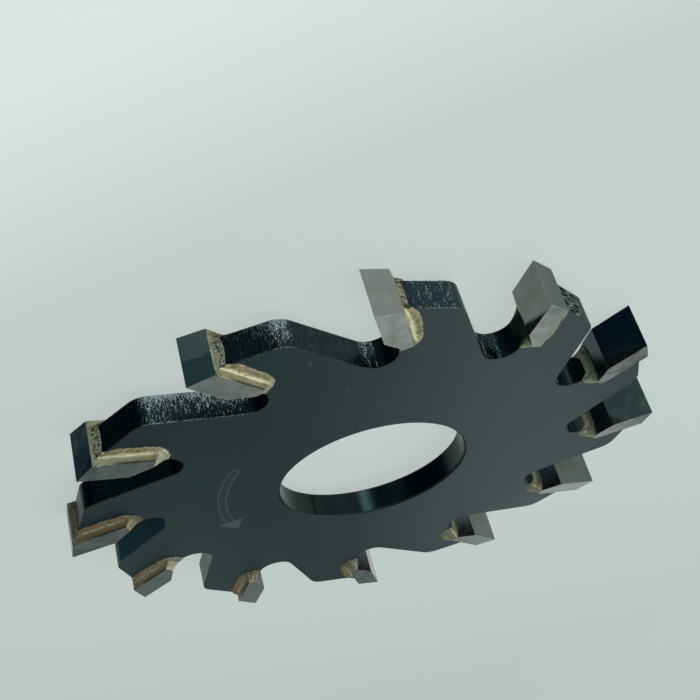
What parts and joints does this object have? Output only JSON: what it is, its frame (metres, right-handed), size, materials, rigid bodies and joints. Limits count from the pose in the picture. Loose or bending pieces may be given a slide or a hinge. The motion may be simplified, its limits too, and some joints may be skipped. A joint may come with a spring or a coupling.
{
  "type": "circular saw blade",
  "caption": "Thick narrow-diameter grooving saw blade: dark steel plate with a plain round bore, deep gullets and wide brazed carbide tips with a positive hook.",
  "frame": {"origin": "on the bore axis, at the plane of the tips' lower corners that the blade rests on", "axes": "+Z along the bore axis out of the visible face, +Y through the cutting corner of tip 1; the tips point anticlockwise seen from +Z"},
  "size_m": [0.1, 0.1, 0.0078],
  "materials": {
    "plate_steel": "satin blue-black coated steel",
    "carbide": "ground tungsten carbide",
    "braze": "rough silver-brass braze, uncleaned"
  },
  "bodies": {
    "root": {"blade_body": "plate_steel", "carbide_tip_01": "carbide", "carbide_tip_02": "carbide", "carbide_tip_03": "carbide", "carbide_tip_04": "carbide", "carbide_tip_05": "carbide", "carbide_tip_06": "carbide", "carbide_tip_07": "carbide", "carbide_tip_08": "carbide", "carbide_tip_09": "carbide", "carbide_tip_10": "carbide", "carbide_tip_11": "carbide", "carbide_tip_12": "carbide", "braze_01": "braze", "braze_02": "braze", "braze_03": "braze", "braze_04": "braze", "braze_05": "braze", "braze_06": "braze", "braze_07": "braze", "braze_08": "braze", "braze_09": "braze", "braze_10": "braze", "braze_11": "braze", "braze_12": "braze"}
  },
  "joints": []
}
